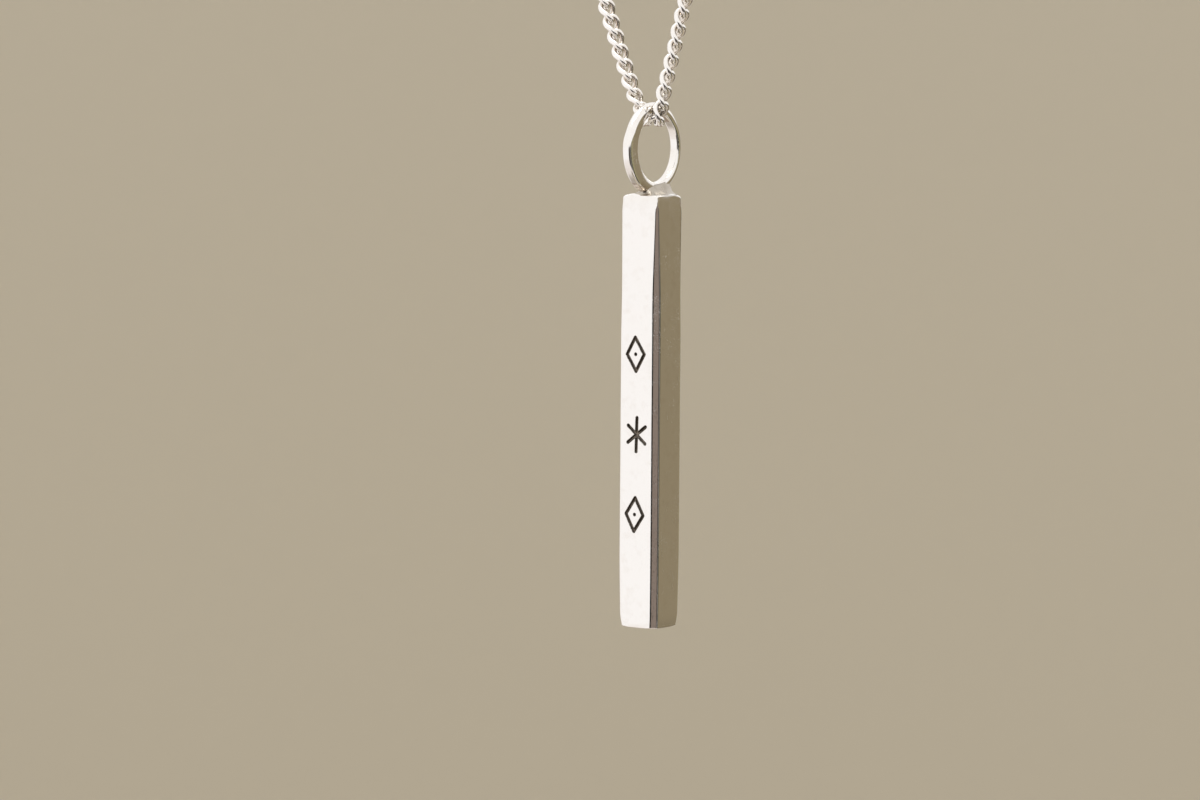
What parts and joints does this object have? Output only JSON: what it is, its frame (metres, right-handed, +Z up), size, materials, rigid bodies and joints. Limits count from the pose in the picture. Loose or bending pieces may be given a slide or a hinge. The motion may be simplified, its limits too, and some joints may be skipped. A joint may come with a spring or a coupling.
{
  "type": "bar pendant on a curb chain",
  "caption": "Square bar pendant with bevelled edges, domed ends and stamped marks, hung by a large soldered ring on a closed loop of fine twisted curb chain.",
  "frame": {"origin": "the point at the back of the neck, under the middle of the clasp, from which the loop hangs", "axes": "+Z up, from the bar towards the clasp; +X to the right across the loop, along the ring's own axis; the stamped face looks along -Y"},
  "size_m": [0.0914, 0.0078, 0.2356],
  "materials": {
    "bar_silver": "polished solid silver with fine tumbling scratches, dark oxide in the stamped marks",
    "chain_silver": "bright polished silver wire",
    "clasp_silver": "bright polished silver"
  },
  "bodies": {
    "necklace": {"chain_front": "chain_silver", "chain_back": "chain_silver", "end_ring_left": "clasp_silver", "end_ring_right": "clasp_silver", "clasp": "clasp_silver"},
    "pendant": {"bar_pendant": "bar_silver"}
  },
  "joints": [
    {"name": "pendant_swing", "type": "hinge", "parent": "necklace", "child": "pendant", "pos_m": [0.00847, 0, -0.19101], "axis": [1, 0, 0], "range_deg": [-90, 90]}
  ]
}
